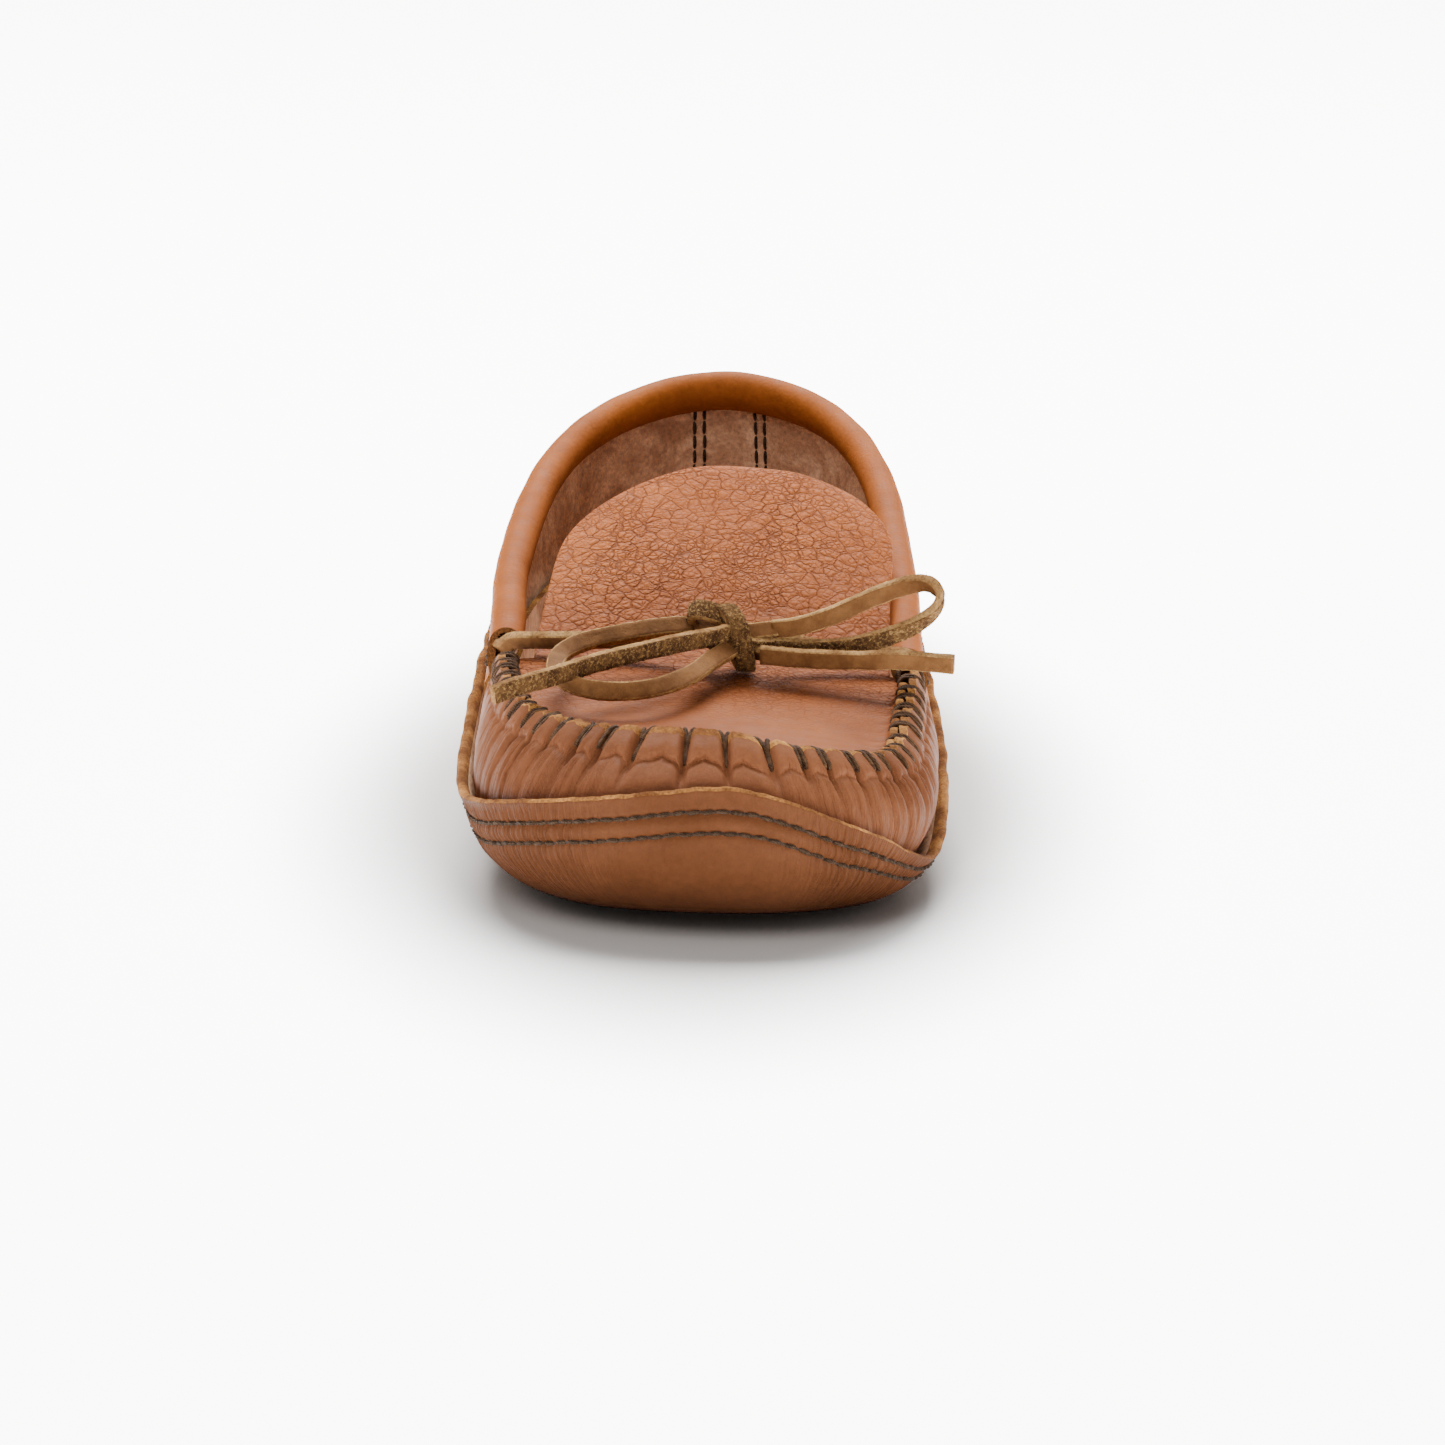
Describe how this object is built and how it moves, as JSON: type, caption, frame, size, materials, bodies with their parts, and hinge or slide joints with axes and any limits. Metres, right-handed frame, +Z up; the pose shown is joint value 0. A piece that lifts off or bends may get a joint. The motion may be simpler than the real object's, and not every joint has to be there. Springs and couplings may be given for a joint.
{
  "type": "moccasin",
  "caption": "Right-foot soft leather moccasin with a hand-gathered toe, cupped soft sole, lifting tongue and a leather lace that runs through the rolled collar and ties in a bow.",
  "frame": {"origin": "on the ground, under the middle of the shoe's length and width", "axes": "+Y from toe to heel, +Z up, +X to the medial (big toe) side of a right foot"},
  "size_m": [0.1093, 0.2743, 0.0778],
  "materials": {
    "grain_leather": "soft pebbled full-grain leather, semi-matte",
    "suede": "brushed flesh side of the leather, matte",
    "lace_leather": "flat-cut lace, one smooth side and one suede side",
    "waxed_thread": "waxed sewing thread, semi-matte",
    "foam": "felted padding, matte"
  },
  "bodies": {
    "rear": {"footbed_ball": "suede", "footbed_rear": "suede", "heel_stitch_lateral_inner": "waxed_thread", "heel_stitch_lateral_outer": "waxed_thread", "heel_stitch_medial_inner": "waxed_thread", "heel_stitch_medial_outer": "waxed_thread", "heel_strip": "grain_leather", "hem_stitch": "waxed_thread", "lace_in_collar": "lace_leather", "lace_knot": "lace_leather", "lace_loop_lateral": "lace_leather", "lace_loop_medial": "lace_leather", "lace_run_lateral": "lace_leather", "lace_run_medial": "lace_leather", "lace_tail_lateral": "lace_leather", "lace_tail_medial": "lace_leather", "outer_sole_ball": "grain_leather", "outer_sole_rear": "grain_leather", "plug_ball": "grain_leather", "plug_rear": "grain_leather", "quarter": "grain_leather", "seam_thread_ball_lateral": "waxed_thread", "seam_thread_ball_medial": "waxed_thread", "seam_thread_rear_lateral": "waxed_thread", "seam_thread_rear_medial": "waxed_thread", "sole_pad_ball": "foam", "sole_pad_rear": "foam", "sole_stitch_lower_ball_lateral": "waxed_thread", "sole_stitch_lower_ball_medial": "waxed_thread", "sole_stitch_lower_rear": "waxed_thread", "sole_stitch_upper_ball_lateral": "waxed_thread", "sole_stitch_upper_ball_medial": "waxed_thread", "sole_stitch_upper_rear": "waxed_thread", "vamp_ball": "grain_leather", "vamp_rear": "grain_leather"},
    "forefoot": {"footbed_toe": "suede", "outer_sole_toe": "grain_leather", "plug_toe": "grain_leather", "seam_thread_toe": "waxed_thread", "sole_pad_toe": "foam", "sole_stitch_lower_toe": "waxed_thread", "sole_stitch_upper_toe": "waxed_thread", "vamp_toe": "grain_leather"},
    "tongue": {"tongue": "grain_leather"}
  },
  "joints": [
    {"name": "ball_flex", "type": "hinge", "parent": "rear", "child": "forefoot", "pos_m": [0.0012, -0.072, 0.001], "axis": [-1, 0, 0], "range_deg": [0, 30], "stiffness_Nm_per_rad": 0.3, "deforming": ["footbed_ball", "outer_sole_ball", "plug_ball", "seam_thread_ball_lateral", "seam_thread_ball_medial", "sole_pad_ball", "sole_stitch_lower_ball_lateral", "sole_stitch_lower_ball_medial", "sole_stitch_upper_ball_lateral", "sole_stitch_upper_ball_medial", "vamp_ball", "lace_loop_lateral", "lace_loop_medial", "lace_tail_lateral", "lace_tail_medial"]},
    {"name": "tongue_lift", "type": "hinge", "parent": "rear", "child": "tongue", "pos_m": [0.0012, -0.036, 0.042], "axis": [1, 0, 0], "range_deg": [-8, 65], "stiffness_Nm_per_rad": 0.15}
  ]
}
